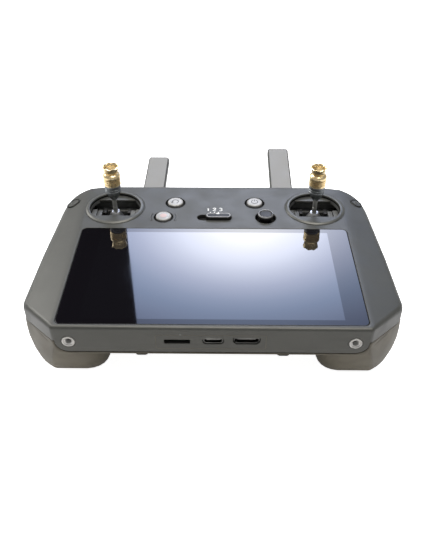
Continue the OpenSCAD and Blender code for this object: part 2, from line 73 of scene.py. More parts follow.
class Nodes:
    """A material's node tree, with short ways to add and join its nodes."""

    def __init__(self, name):
        self.material = bpy.data.materials.new(name)
        self.material.use_nodes = True
        self.tree = self.material.node_tree
        self.shader = self.tree.nodes["Principled BSDF"]
        self.coords = self.add("ShaderNodeTexCoord").outputs["Object"]

    def add(self, kind, **settings):
        """A new node, with its settings and input values."""
        made = self.tree.nodes.new(kind)
        for key, value in settings.items():
            if hasattr(made, key):
                setattr(made, key, value)
            else:
                made.inputs[key.replace("_", " ")].default_value = value
        return made

    def join(self, out, into):
        """Links an output to an input."""
        self.tree.links.new(out, into)

    def noise(self, scale, detail=3.0, roughness=0.5):
        """Smooth random values over the piece."""
        made = self.add("ShaderNodeTexNoise")
        made.inputs["Scale"].default_value = scale
        made.inputs["Detail"].default_value = detail
        made.inputs["Roughness"].default_value = roughness
        self.join(self.coords, made.inputs["Vector"])
        return made.outputs["Fac"]

    def ramp(self, fac, stops):
        """A colour ramp. Each stop is a position and a colour."""
        made = self.add("ShaderNodeValToRGB")
        points = made.color_ramp.elements
        while len(points) < len(stops):
            points.new(0.5)
        for point, (position, colour) in zip(points, stops):
            point.position = position
            point.color = (*colour, 1)
        self.join(fac, made.inputs["Fac"])
        return made.outputs["Color"]

    def span(self, value, low, high):
        """A noise value turned into the range low to high."""
        made = self.add("ShaderNodeMapRange")
        made.inputs["From Min"].default_value = 0.3
        made.inputs["From Max"].default_value = 0.7
        made.inputs["To Min"].default_value = low
        made.inputs["To Max"].default_value = high
        self.join(value, made.inputs["Value"])
        return made.outputs["Result"]

    def maths(self, operation, a, b=None):
        """One sum on values, which are numbers or outputs of other nodes."""
        made = self.add("ShaderNodeMath", operation=operation)
        for i, value in enumerate((a, b)):
            if value is None:
                continue
            if isinstance(value, (int, float)):
                made.inputs[i].default_value = value
            else:
                self.join(value, made.inputs[i])
        return made.outputs["Value"]

    def bump(self, height, strength, distance, rounding=0.0):
        """Fine relief. With a rounding radius, sharp edges also catch the light as if rounded."""
        made = self.add("ShaderNodeBump")
        if rounding:
            bevel = self.add("ShaderNodeBevel", samples=6)
            bevel.inputs["Radius"].default_value = rounding * MM
            self.join(bevel.outputs["Normal"], made.inputs["Normal"])
        made.inputs["Strength"].default_value = strength
        made.inputs["Distance"].default_value = distance
        self.join(height, made.inputs["Height"])
        self.join(made.outputs["Normal"], self.shader.inputs["Normal"])

    def paint_edge_highlight(self, base, light, amount):
        """Painted highlight: edges and high spots take the light colour by the given amount."""
        geometry = self.add("ShaderNodeNewGeometry")
        edge = self.ramp(geometry.outputs["Pointiness"], [(0.5, (0, 0, 0)), (0.58, (1, 1, 1))])
        share = self.maths("MULTIPLY", edge, amount)
        mix = self.add("ShaderNodeMix", data_type="RGBA")
        self.join(share, mix.inputs[0])
        self.join(base, mix.inputs[6])
        mix.inputs[7].default_value = (*light, 1)
        return mix.outputs[2]


# Plastic mirrors the lamps a little warm. The grain is the same on every moulded piece.
SPECULAR_TINT = (1, 0.97, 0.90, 1)
GRAIN_SCALE = 5200
GRAIN_DEPTH = 0.00012
# Painted highlight on edges: how much paler the edge colour is, and how much of it the edges take.
EDGE_PALER = 1.5
EDGE_HIGHLIGHT_SHARE = 0.35


def plastic(name, dark, light, roughness, grain=1.0, specular=0.45, rounding=0.0):
    """Moulded plastic: a fine spark-eroded grain, faint changes of tone and gloss, and a painted highlight
    on its edges.
    """
    m = Nodes(name)
    tone = m.ramp(m.noise(38, 4), [(0.3, dark), (0.7, light)])
    pale = tuple(c * EDGE_PALER for c in light)
    # Painted highlight: edges and high spots are painted paler.
    m.join(m.paint_edge_highlight(tone, pale, EDGE_HIGHLIGHT_SHARE), m.shader.inputs["Base Color"])
    m.join(m.span(m.noise(90, 5), roughness - 0.05, roughness + 0.06), m.shader.inputs["Roughness"])
    m.shader.inputs["Specular IOR Level"].default_value = specular
    m.shader.inputs["Specular Tint"].default_value = SPECULAR_TINT
    m.bump(m.noise(GRAIN_SCALE, 2, 0.7), 0.10 * grain, GRAIN_DEPTH, rounding)
    return m.material


def metal(name, dark, light, roughness, relief=0.06):
    """Turned or plated metal, with fine scratches and smudges."""
    m = Nodes(name)
    tone = m.ramp(m.noise(220, 4), [(0.3, dark), (0.7, light)])
    m.join(tone, m.shader.inputs["Base Color"])
    m.shader.inputs["Metallic"].default_value = 1.0
    m.join(m.span(m.noise(500, 5), roughness - 0.06, roughness + 0.08), m.shader.inputs["Roughness"])
    m.bump(m.noise(2600, 3, 0.6), relief, 0.00008)
    return m.material


# Half the width and height of the picture area under the glass
ACTIVE_HALF = (60.9, 34.25)


def screen_glass():
    """Cover glass with a printed black border; the picture area under it reflects a little more."""
    m = Nodes("screen_glass")
    apart = m.add("ShaderNodeSeparateXYZ")
    m.join(m.coords, apart.inputs["Vector"])
    centre = (GLASS_LOW + GLASS_HIGH) / 2 * MM
    half_x = m.maths("ABSOLUTE", m.maths("SUBTRACT", apart.outputs["X"], centre.x))
    half_y = m.maths("ABSOLUTE", m.maths("SUBTRACT", apart.outputs["Y"], centre.y))
    in_x = m.maths("LESS_THAN", half_x, ACTIVE_HALF[0] * MM)
    in_y = m.maths("LESS_THAN", half_y, ACTIVE_HALF[1] * MM)
    active = m.maths("MULTIPLY", in_x, in_y)
    m.join(m.ramp(active, [(0.0, (0.0050, 0.0045, 0.0060)), (1.0, (0.0056, 0.0052, 0.0068))]),
           m.shader.inputs["Base Color"])
    m.join(m.maths("ADD", 0.5, m.maths("MULTIPLY", active, 0.5)), m.shader.inputs["Specular IOR Level"])
    smudge = m.span(m.noise(26, 5, 0.6), 0.012, 0.045)
    m.join(smudge, m.shader.inputs["Roughness"])
    m.shader.inputs["Coat Weight"].default_value = 0.25
    m.shader.inputs["Coat Roughness"].default_value = 0.02
    m.bump(m.noise(14, 2), 0.015, 0.0004)
    return m.material


def antenna_plastic():
    """Moulded plastic coloured by the way each face turns: faces turned sideways, as on the bevelled long
    edges, are painted dark as shade, and the pale tone of the faces turned up is partly the plastic's own
    and partly painted sheen.
    """
    m = Nodes("antenna_plastic")
    apart = m.add("ShaderNodeSeparateXYZ")
    m.join(m.add("ShaderNodeTexCoord").outputs["Normal"], apart.inputs["Vector"])
    side = m.maths("ABSOLUTE", apart.outputs["X"])
    # Painted shade and sheen: dark where the face turns sideways, pale where it turns up.
    tone = m.ramp(side, [(0.25, (0.235, 0.230, 0.215)), (0.7, (0.028, 0.029, 0.028))])
    m.join(tone, m.shader.inputs["Base Color"])
    m.join(m.span(m.noise(90, 5), 0.42, 0.52), m.shader.inputs["Roughness"])
    m.shader.inputs["Specular Tint"].default_value = SPECULAR_TINT
    m.bump(m.noise(GRAIN_SCALE, 2, 0.7), 0.1, GRAIN_DEPTH)
    return m.material


def circuit_board():
    """Solder mask with copper tracks showing faintly through."""
    m = Nodes("circuit_board")
    brick = m.add("ShaderNodeTexBrick")
    brick.inputs["Scale"].default_value = 160
    brick.inputs["Mortar Size"].default_value = 0.04
    brick.inputs["Color1"].default_value = (0.012, 0.075, 0.035, 1)
    brick.inputs["Color2"].default_value = (0.009, 0.055, 0.028, 1)
    brick.inputs["Mortar"].default_value = (0.05, 0.16, 0.06, 1)
    m.join(m.coords, brick.inputs["Vector"])
    m.join(brick.outputs["Color"], m.shader.inputs["Base Color"])
    m.join(m.span(m.noise(120), 0.28, 0.4), m.shader.inputs["Roughness"])
    m.bump(brick.outputs["Fac"], 0.2, 0.00005)
    return m.material


def white_print():
    """Thin white ink."""
    m = Nodes("white_print")
    m.join(m.ramp(m.noise(900), [(0.3, (0.62, 0.62, 0.6)), (0.7, (0.8, 0.8, 0.78))]),
           m.shader.inputs["Base Color"])
    m.shader.inputs["Roughness"].default_value = 0.5
    m.bump(m.noise(4000), 0.1, 0.00003)
    return m.material


MATERIALS = {
    "shell": plastic("shell_plastic", (0.0365, 0.0378, 0.0345), (0.0465, 0.0478, 0.044), 0.43,
                     specular=0.55, rounding=0.7),
    "grip": plastic("grip_plastic", (0.082, 0.072, 0.052), (0.108, 0.096, 0.072), 0.5, rounding=2.5),
    "antenna": antenna_plastic(),
    # A lighter copy of the shell plastic for the bezel rings, painted lighter as the light on the rings'
    # crests.
    "bezel": plastic("lit_bezel_plastic", (0.054, 0.056, 0.051), (0.068, 0.070, 0.064), 0.38,
                     specular=0.6, rounding=0.3),
    "dark": plastic("dark_plastic", (0.010, 0.010, 0.011), (0.018, 0.018, 0.019), 0.5),
    "gloss": plastic("knob_gloss", (0.005, 0.005, 0.006), (0.010, 0.010, 0.011), 0.14, 0.3, 0.6),
    "satin": plastic("knob_satin", (0.010, 0.010, 0.011), (0.018, 0.018, 0.019), 0.42, 0.6, 0.4),
    "key": plastic("key_cap", (0.31, 0.308, 0.30), (0.43, 0.425, 0.415), 0.3, 0.5, 0.5),
    "icon": plastic("icon_ink", (0.06, 0.06, 0.062), (0.10, 0.10, 0.102), 0.4, 0.5),
    "red": plastic("icon_red", (0.38, 0.27, 0.25), (0.46, 0.34, 0.32), 0.35, 0.5),
    "rubber": plastic("gasket_rubber", (0.003, 0.003, 0.003), (0.007, 0.007, 0.007), 0.75, 1, 0.15),
    "display": plastic("display", (0.012, 0.013, 0.018), (0.018, 0.019, 0.024), 0.3),
    "wrap": plastic("battery_wrap", (0.02, 0.05, 0.17), (0.03, 0.07, 0.22), 0.3),
    "steel": metal("steel", (0.55, 0.54, 0.52), (0.70, 0.69, 0.67), 0.24),
    "satin_steel": plastic("satin_steel", (0.30, 0.30, 0.29), (0.42, 0.42, 0.40), 0.28, 0.4, 0.9),
    "zinc": plastic("panel_plastic", (0.085, 0.087, 0.085), (0.12, 0.122, 0.12), 0.5),
    # Steel painted dark, as the shade inside the port openings.
    "socket": metal("shaded_socket_steel", (0.13, 0.13, 0.125), (0.2, 0.2, 0.19), 0.34),
    "alloy": metal("light_alloy", (0.42, 0.42, 0.42), (0.55, 0.55, 0.55), 0.4),
    "anodised": metal("stick_dark", (0.20, 0.215, 0.225), (0.30, 0.315, 0.325), 0.38),
    "nickel": metal("nickel_plate", (0.34, 0.33, 0.315), (0.46, 0.45, 0.43), 0.42),
    # Darker brass, painted as the shade inside the cups of the stick tips.
    "cup_shade_brass": metal("cup_shade_brass", (0.26, 0.19, 0.09), (0.38, 0.29, 0.15), 0.5),
    "gold": metal("gold_brass", (0.80, 0.61, 0.33), (0.94, 0.78, 0.48), 0.3, 0.02),
    "glass": screen_glass(),
    "board": circuit_board(),
    "print": white_print(),
}
SLOT_LOOKS = {
    "shell_plastic": "shell", "dark_plastic": "dark", "key_cap": "key", "knob_gloss": "gloss",
    "screen_glass": "glass", "display": "display", "gasket_rubber": "rubber", "steel": "steel",
    "light_alloy": "alloy", "stick_dark": "anodised", "gold_brass": "gold",
    "circuit_board": "board", "battery_wrap": "wrap",
}


# ---- Mesh helpers ----------------------------------------------------------------------------


SHARP_ANGLE = 36


def put(name, mesh_maker, look, body, stands_for=()):
    """Builds a piece from a bmesh in millimetres, dresses it and lets it ride on a body."""
    bm = bmesh.new()
    mesh_maker(bm)
    bmesh.ops.remove_doubles(bm, verts=bm.verts, dist=1e-4)
    bmesh.ops.recalc_face_normals(bm, faces=bm.faces)
    bmesh.ops.scale(bm, vec=(MM, MM, MM), verts=bm.verts)
    mesh = bpy.data.meshes.new(name)
    bm.to_mesh(mesh)
    bm.free()
    piece = bpy.data.objects.new(name, mesh)
    bpy.context.scene.collection.objects.link(piece)
    mesh.materials.append(MATERIALS[look])
    mesh.shade_smooth()
    mesh.set_sharp_from_angle(angle=math.radians(SHARP_ANGLE))
    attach(piece, body)
    if stands_for:
        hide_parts(*stands_for)
    return piece


def round_edges(piece, width, segments=3, angle=32):
    """Rounds the sharp edges of a piece and keeps its flats flat."""
    weld = piece.modifiers.new("weld", "WELD")
    weld.merge_threshold = 0.002 * MM
    bevel = piece.modifiers.new("bevel", "BEVEL")
    bevel.width = width * MM
    bevel.segments = segments
    bevel.limit_method = "ANGLE"
    bevel.angle_limit = math.radians(angle)
    bevel.use_clamp_overlap = True
    normals = piece.modifiers.new("normals", "WEIGHTED_NORMAL")
    normals.keep_sharp = True
    normals.weight = 60


def lathe(bm, profile, centre, axis=(0, 0, 1), steps=64, shape=None):
    """Turns a profile of radius and height pairs about an axis through centre.

    shape, if given, takes an angle, a radius and a height, and returns the radius and height there."""
    turn = Vector((0, 0, 1)).rotation_difference(Vector(axis)).to_matrix()
    rings = []
    for radius, height in profile:
        if radius < 1e-6:
            rings.append([bm.verts.new(turn @ Vector((0, 0, height)) + Vector(centre))])
            continue
        ring = []
        for i in range(steps):
            angle = 2 * math.pi * i / steps
            r, h = shape(angle, radius, height) if shape else (radius, height)
            spot = Vector((r * math.cos(angle), r * math.sin(angle), h))
            ring.append(bm.verts.new(turn @ spot + Vector(centre)))
        rings.append(ring)
    for low, high in zip(rings, rings[1:]):
        for i in range(steps):
            j = (i + 1) % steps
            quad = [low[i % len(low)], low[j % len(low)], high[j % len(high)], high[i % len(high)]]
            corners = list(dict.fromkeys(quad))
            if len(corners) > 2:
                bm.faces.new(corners)


def softened(profile, size=0.25, steps=3):
    """A profile with its inner corners rounded off by short curves."""
    out = [profile[0]]
    for before, here, after in zip(profile, profile[1:], profile[2:]):
        a, b, c = Vector(before), Vector(here), Vector(after)
        cut = min(size, (a - b).length * 0.45, (c - b).length * 0.45)
        if cut < 1e-4:
            out.append(here)
            continue
        p = b + (a - b).normalized() * cut
        q = b + (c - b).normalized() * cut
        for i in range(steps + 1):
            k = i / steps
            spot = p * (1 - k) ** 2 + b * 2 * k * (1 - k) + q * k * k
            out.append((spot.x, spot.y))
    out.append(profile[-1])
    return out


def slab(bm, outline, low, high, rim=0.0, steps=3, turn=None):
    """A solid between two heights over an outline, its top edge rounded by rim."""
    middle_point = sum((Vector(p) for p in outline), Vector((0, 0))) / len(outline)
    layers = [(0.0, low), (0.0, high - rim)]
    for i in range(1, steps + 1 if rim else 1):
        a = math.pi / 2 * i / steps
        layers.append((rim * (1 - math.cos(a)), high - rim + rim * math.sin(a)))
    rings = []
    for back, z in layers:
        ring = []
        for p in outline:
            out = Vector(p) - middle_point
            spot = middle_point + out * max(0.0, 1 - back / max(out.length, 1e-6))
            ring.append(bm.verts.new((spot.x, spot.y, z)))
        rings.append(ring)
    count = len(outline)
    for low_ring, high_ring in zip(rings, rings[1:]):
        for i in range(count):
            j = (i + 1) % count
            bm.faces.new((low_ring[i], low_ring[j], high_ring[j], high_ring[i]))
    bm.faces.new(rings[0][::-1])
    bm.faces.new(rings[-1])
    if turn:
        bmesh.ops.transform(bm, matrix=turn, verts=[v for ring in rings for v in ring])


def ribbon(bm, points, width, low, high, closed=False, turn=None):
    """A line of even width drawn through points, standing between two heights."""
    spots = [Vector(p) for p in points]
    count = len(spots)
    sections = []
    for i, here in enumerate(spots):
        before = spots[i - 1] if closed or i else here
        after = spots[(i + 1) % count] if closed or i < count - 1 else here
        along = (after - before).normalized()
        across = Vector((-along.y, along.x)) * width / 2
        sections.append([bm.verts.new((*(here + across * s), z))
                         for s, z in ((-1, low), (1, low), (1, high), (-1, high))])
    pairs = list(zip(sections, sections[1:]))
    if closed:
        pairs.append((sections[-1], sections[0]))
    else:
        bm.faces.new(sections[0])
        bm.faces.new(sections[-1][::-1])
    for a, b in pairs:
        for i in range(4):
            j = (i + 1) % 4
            bm.faces.new((a[i], a[j], b[j], b[i]))
    if turn:
        bmesh.ops.transform(bm, matrix=turn, verts=[v for row in sections for v in row])


def arc(centre, radius, start, end, steps=24):
    """Points along an arc between two angles in degrees."""
    out = []
    for i in range(steps + 1):
        a = math.radians(start + (end - start) * i / steps)
        out.append((centre[0] + radius * math.cos(a), centre[1] + radius * math.sin(a)))
    return out


def rounded_box_outline(centre, size, radius, steps=6):
    """A rectangle with round corners as a list of points."""
    points = []
    for quarter, (sx, sy) in enumerate(((1, 1), (-1, 1), (-1, -1), (1, -1))):
        corner_middle = (centre[0] + sx * (size[0] / 2 - radius), centre[1] + sy * (size[1] / 2 - radius))
        points += arc(corner_middle, radius, 90 * quarter, 90 * (quarter + 1), steps)
    return points


# ---- Shells and screen -----------------------------------------------------------------------


# The shells, and the pieces whose thin walls or touching edges leave no room for rounding
SHELLS = ("front_shell", "rear_shell")
LEFT_SQUARE = ("cover_glass", "display_gasket", "antenna_cables")


def dress_cad_nodes():
    """Gives every CAD node its finish, and rounds the edges of those that stay in view."""
    looks = {row["node"]: SLOT_LOOKS[row["material_slot"]] for row in frame["record"]["subparts"]}
    looks["rear_shell"] = "grip"
    # Painted shade: the card socket is black, and the two receptacles a dark steel, for the shade inside
    # their mouths.
    looks["card_socket"] = "rubber"
    looks["usb_receptacle"] = looks["video_receptacle"] = "socket"
    looks["left_outer_yoke"] = looks["right_outer_yoke"] = "zinc"
    looks["left_antenna"] = looks["right_antenna"] = "antenna"
    for name, node in nodes.items():
        node.data.materials.clear()
        node.data.materials.append(MATERIALS[looks[name]])
        node.data.shade_smooth()
    for name, node in nodes.items():
        if name not in LEFT_SQUARE:
            round_edges(node, 0.14 if name in SHELLS else 0.15, 2, 34)


def build_glass():
    """The cover glass: a flat sheet with a fine ground edge."""
    centre = (GLASS_LOW + GLASS_HIGH) / 2
    size = GLASS_HIGH - GLASS_LOW
    outline = rounded_box_outline(centre, size, 2.5, 10)
    piece = put("screen_cover", lambda bm: slab(bm, outline, GLASS_LOW.z, FACE_Z, 0.3),
                "glass", "housing", ["cover_glass"])
    round_edges(piece, 0.01, 1, 60)


# ---- Sticks ----------------------------------------------------------------------------------


TEETH = 8
TOOTH_HEIGHT = 0.6
RIBS = 40
RIB_DEPTH = 0.035
TIP_R = 4.65
TIP_GROOVE_R = 4.35
GROOVE_STARTS = (16.0, 17.2, 18.4)


def build_stick(side):
    """Steel shaft, dark grip base with rings, and a gold tip with ribs and a toothed crown."""
    body = side + "_stick"
    x, y = middle(side + "_stick_tip").xy
    at = (x, y, FACE_Z)

    def tip_shape(angle, radius, height):
        if radius > 4.5 and 15.9 < height < 19.5:
            return radius - RIB_DEPTH * (1 + math.cos(angle * RIBS)), height
        if height > 26 and radius > 3:
            place_in_tooth = (angle * TEETH / (2 * math.pi)) % 1
            tooth = 1 - abs(place_in_tooth * 2 - 1)
            return radius, height + TOOTH_HEIGHT * (tooth - 0.5)
        return radius, height

    tip = [(2, 15.3), (TIP_GROOVE_R, 15.3), (TIP_R, 15.6)]
    for start in GROOVE_STARTS:
        tip += [(TIP_R, start), (TIP_R, start + 0.85), (TIP_GROOVE_R, start + 0.95),
                (TIP_GROOVE_R, start + 1.1), (TIP_R, start + 1.2)]
    tip += [(4.75, 19.9), (4.75, 21.3), (4.5, 21.8), (3.9, 22.2), (3.4, 22.6), (3.4, 23.0), (3.75, 23.5),
            (4.0, 24.6), (4.2, 25.6), (4.45, 26.5), (4.1, 26.65), (3.7, 26.4), (3.1, 25.4), (3.0, 24.4),
            (1.2, 24.2), (0, 24.2)]
    # Painted shade: the inside of the cup is a darker brass.
    cup = softened([(0, 24.1), (3.0, 24.1), (3.0, 25.2), (2.2, 25.0), (1.6, 24.6), (0, 24.5)], 0.2)
    put(side + "_tip_cup", lambda bm: lathe(bm, cup, at, steps=48), "cup_shade_brass", body)
    put(side + "_gold_tip", lambda bm: lathe(bm, tip, at, steps=RIBS * 6, shape=tip_shape),
        "gold", body, [side + "_stick_tip"])
    base = softened([(0, 6.9), (1.3, 6.9), (1.3, 6.0), (1.7, 6.0), (2.6, 7.6), (2.9, 7.7), (4.2, 10.6),
                     (4.4, 11.2), (4.4, 12.0), (4.1, 12.15), (4.1, 12.4), (4.4, 12.55), (4.4, 13.3),
                     (4.15, 13.4), (4.15, 13.7), (4.4, 13.8), (4.4, 15.1), (4.2, 15.3), (2, 15.3)], 0.15)
    put(side + "_grip_base", lambda bm: lathe(bm, base, at, steps=96), "anodised", body,
        [side + "_stick_base"])
    rod = softened([(0, 8.0), (1.15, 8.0), (1.3, 7.8), (1.3, 1.4), (1.05, 1.2), (1.05, 0.9), (1.3, 0.7),
                    (1.3, -5.0), (0, -5.0)], 0.1)
    put(side + "_steel_shaft", lambda bm: lathe(bm, rod, at, steps=48), "satin_steel", body,
        [side + "_stick_shaft"])


# The inner radius of the bezel, and the radius of the plates seen through it
BEZEL_R = 14.35
GATE_R = 14.25
# Where the two straight edges of the gate cross that radius, in degrees
NEAR_CUT, FAR_CUT = 27.7, 42.0


def build_bezel(side):
    """Raised ring round the stick opening, with a faint groove at its foot and, just inside, a black band
    painted as the shadow under its rim.
    """
    x, y = middle(side + "_stick_bezel").xy
    low = corner(side + "_stick_bezel").z
    ring = softened([(BEZEL_R, low - FACE_Z), (15.2, low - FACE_Z), (15.2, -0.05), (16.85, -0.05),
                     (16.55, 0.3), (15.7, 0.74), (14.9, 0.84), (14.55, 0.8), (BEZEL_R, 0.5),
                     (BEZEL_R, low - FACE_Z)], 0.15)
    groove = [(16.82, -0.2), (17.25, -0.2), (17.2, 0.03), (16.84, 0.03), (16.82, -0.2)]
    # Painted shadow: a thin black band just inside the rim stands for the rim's shadow on the opening's
    # wall.
    rim_shadow_band = [(14.2, -0.95), (14.36, -0.95), (14.36, -0.1), (14.3, -0.1), (14.2, -0.95)]
    wall = [(14.1, -3.0), (14.36, -3.0), (14.36, -0.9), (14.2, -0.9), (14.1, -3.0)]

    def turned(profile):
        return lambda bm: lathe(bm, profile, (x, y, FACE_Z), steps=128)

    # The ring's plastic is painted lighter as the light on its crest.
    put(side + "_bezel_ring", turned(ring), "bezel", "housing", [side + "_stick_bezel"])
    put(side + "_bezel_wall", turned(wall), "zinc", "housing")
    # The painted rim shadow.
    put(side + "_bezel_rim_shadow", turned(rim_shadow_band), "rubber", "housing")
    put(side + "_bezel_groove", turned(groove), "shell", "housing")


def build_gate(side):
    """What shows through the bezel: two gate plates, a bar, four side panels and the yoke's blocks."""
    x, y = middle(side + "_stick_bezel").xy

    def plates(bm):
        near_edge = arc((x, y), GATE_R, 180 + NEAR_CUT, 360 - NEAR_CUT, 32)
        far_edge = arc((x, y), GATE_R, FAR_CUT, 180 - FAR_CUT, 32)
        slab(bm, [(x, y - 6.6)] + near_edge, FACE_Z - 1.9, FACE_Z - 1.1)
        slab(bm, [(x, y + 9.5)] + far_edge, FACE_Z - 3.1, FACE_Z - 1.2)

    put(side + "_gate_plates", plates, "shell", "housing")
    bar = rounded_box_outline((x, y + 13.3), (28, 1.6), 0.3)
    put(side + "_far_bar", lambda bm: slab(bm, bar, FACE_Z - 8.6, FACE_Z - 3.1, 0.3), "zinc", "housing")

    def side_panels(bm):
        for way in (-1, 1):
            outer = rounded_box_outline((x + way * 12.7, y - 0.2), (3.0, 9.4), 0.6)
            inner = rounded_box_outline((x + way * 9.6, y - 0.2), (2.6, 8.6), 0.6)
            slab(bm, outer, FACE_Z - 5.7, FACE_Z - 4.2, 0.25)
            slab(bm, inner, FACE_Z - 5.7, FACE_Z - 4.7, 0.25)

    put(side + "_side_panels", side_panels, "zinc", "housing")

    def yoke_blocks(bm):
        for way in (-1, 1):
            block = rounded_box_outline((x + way * 7.1, y + 4.8), (2.1, 4.6), 0.4)
            slab(bm, block, FACE_Z - 9, FACE_Z - 5.2, 0.3)

    put(side + "_yoke_blocks", yoke_blocks, "dark", side + "_yoke")


# ---- Keys ------------------------------------------------------------------------------------


# Ink stands this high on a face and reaches this deep into it
INK_HIGH, INK_DEEP = 0.04, 0.05

def build_round_key(name, hole_r):
    """A silver domed cap in a dark sleeve."""
    x, y = middle(name).xy
    sleeve = softened([(0, -2.4), (hole_r - 0.35, -2.4), (hole_r - 0.35, -0.9), (hole_r - 0.6, -0.55),
                       (4.5, -0.55), (4.45, -0.8), (0, -0.8)], 0.15)
    rim = [(hole_r - 0.25, -2), (hole_r + 0.05, -2), (hole_r + 0.22, 0.03), (hole_r - 0.1, -0.05),
           (hole_r - 0.25, -2)]
    put(name + "_rim", lambda bm: lathe(bm, rim, (x, y, FACE_Z), steps=72), "rubber", "housing")
    put(name + "_sleeve", lambda bm: lathe(bm, sleeve, (x, y, FACE_Z), steps=72), "rubber", name)
    cap = softened([(0, -0.8), (4.35, -0.8), (4.35, 0.5), (4.1, 0.85), (3.7, 1.0), (3.4, 0.88),
                    (2.2, 0.97), (0, 1.02)], 0.12)
    put(name + "_cap", lambda bm: lathe(bm, cap, (x, y, FACE_Z), steps=72), "key", name,
        [name])


def build_icons():
    """Plain signs on the three round keys: a turning arrow, a power sign and a round dot."""
    low, high = FACE_Z + 0.7, FACE_Z + 1.06
    x, y = middle("return_button").xy

    def turning_arrow(bm):
        ribbon(bm, arc((x, y), 1.75, -60, 200, 30), 0.5, low, high)
        slab(bm, [(x - 2.7, y - 0.35), (x - 0.75, y - 0.35), (x - 1.9, y - 1.75)], low, high)

    put("return_icon", turning_arrow, "icon", "return_button")
    px, py = middle("power_button").xy

    def power_sign(bm):
        ribbon(bm, arc((px, py), 1.8, 120, 420, 36), 0.5, low, high)
        ribbon(bm, [(px, py + 0.3), (px, py + 2.3)], 0.5, low, high)

    put("power_icon", power_sign, "icon", "power_button")
    qx, qy = middle("pause_button").xy
    dot = arc((qx, qy), 1.9, 0, 345, 23)
    put("pause_icon", lambda bm: slab(bm, dot, low, high), "red", "pause_button")

    # Painted shade: a dark band stands for the shade in each curved groove beside the pause key.
    def bracket_shade(bm):
        for start in (152, -28):
            ribbon(bm, arc((qx, qy), 7.1, start, start + 56, 20), 0.95, FACE_Z - 0.2, FACE_Z + 0.12)

    put("pause_bracket_shade", bracket_shade, "dark", "housing")

    # Painted highlight: a thin pale line along each groove's outer edge stands for the light on it.
    def bracket_highlights(bm):
        for start in (154, -26):
            ribbon(bm, arc((qx, qy), 7.45, start, start + 52, 20), 0.3, FACE_Z - 0.2, FACE_Z + 0.2)

    put("pause_bracket_highlights", bracket_highlights, "zinc", "housing")


# Strokes of the three numbers, the numbers' places along X, and how the ticks close up under them
DIGITS = {
    "1": [[(-0.45, 0.75), (0.15, 1.25), (0.15, -1.25)]],
    "2": [[(-0.75, 0.7), (-0.4, 1.15), (0.15, 1.25), (0.65, 0.95), (0.65, 0.4), (-0.8, -1.2), (0.85, -1.2)]],
    "3": [[(-0.7, 1.0), (0, 1.25), (0.6, 0.95), (0.6, 0.4), (0.05, 0.08)],
          [(0.05, 0.08), (0.7, -0.25), (0.7, -0.85), (0.1, -1.22), (-0.7, -1.0)]],
}
DIGIT_PLACES = {"1": -3.8, "2": -0.15, "3": 3.4}
TICK_SPACING = 0.62


def build_mode_switch():
    """The sliding switch with its white index mark, and the numbers of its three places."""
    x, y = middle("mode_switch").xy
    top = corner("mode_switch", False).z

    def slider(bm):
        slab(bm, rounded_box_outline((x, y), (14.3, 4.8), 2.3, 8), FACE_Z - 2.4, top, 0.5, 4)
        slab(bm, rounded_box_outline((x, y), (23.6, 7.4), 1), FACE_Z - 3.1, FACE_Z - 2.3)

    put("mode_slider", slider, "satin", "mode_switch", ["mode_switch"])
    # Painted highlight: a pale line round the slider's top face stands for the light on its rounded edge.
    rim = rounded_box_outline((x, y), (12.9, 3.5), 1.7, 8)
    put("mode_rim_highlight", lambda bm: ribbon(bm, rim, 0.32, top - 0.2, top + 0.05, closed=True),
        "key", "mode_switch")
    mark = [(x - 1.2, y + 1.45), (x + 0.5, y + 1.45)]
    put("mode_mark", lambda bm: ribbon(bm, mark, 1.1, top - 0.3, top + 0.08), "print", "mode_switch")

    def numbers(bm):
        for digit, lines in DIGITS.items():
            for line in lines:
                stroke = [(DIGIT_PLACES[digit] + p, y + 8.1 + q * 1.15) for p, q in line]
                ribbon(bm, stroke, 0.75, FACE_Z - INK_DEEP, FACE_Z + INK_HIGH)

    put("mode_numbers", numbers, "print", "housing")

    def ticks(bm):
        for place in DIGIT_PLACES.values():
            tick_x = place * TICK_SPACING
            ribbon(bm, [(tick_x, y + 4.4), (tick_x, y + 5.6)], 0.6, FACE_Z - INK_DEEP, FACE_Z + INK_HIGH)

    put("mode_ticks", ticks, "print", "housing")


def build_five_way():
    """The glossy five-way knob, with a bevelled rim and a dished top, over a dark well."""
    x, y = middle("five_way_knob").xy
    at = (x, y, FACE_Z)
    knob = softened([(1.6, -1.4), (3.5, -1.4), (3.5, 0.1), (4.0, 0.6), (4.38, 1.05), (4.4, 1.75),
                     (3.75, 2.75), (3.3, 2.85), (2.9, 2.6), (0, 2.5)], 0.15)
    put("five_way_cap", lambda bm: lathe(bm, knob, at, steps=96), "satin", "five_way_knob",
        ["five_way_knob"])
    bevel = softened([(4.15, 2.2), (4.23, 2.28), (3.80, 2.88), (3.68, 2.84), (4.15, 2.2)], 0.04)
    put("five_way_bevel", lambda bm: lathe(bm, bevel, at, steps=96), "alloy", "five_way_knob")
    well = softened([(5.66, -2.6), (5.82, -2.6), (5.82, -0.4), (5.74, -0.4), (5.66, -0.7),
                     (5.66, -2.6)], 0.03)
    put("five_way_well", lambda bm: lathe(bm, well, at, steps=96), "gloss", "housing")
    boot = [(2.7, -3.9), (5.7, -3.9), (5.7, -3.3), (2.7, -3.3), (2.7, -3.9)]
    put("five_way_boot", lambda bm: lathe(bm, boot, at, steps=72), "rubber", "housing")


# Slope of the wings, the turn of the oval buttons on them, and the radius of the ovals' ends
WING_SLOPE = 14.0
OVAL_TURN = 52
OVAL_R = 2.9


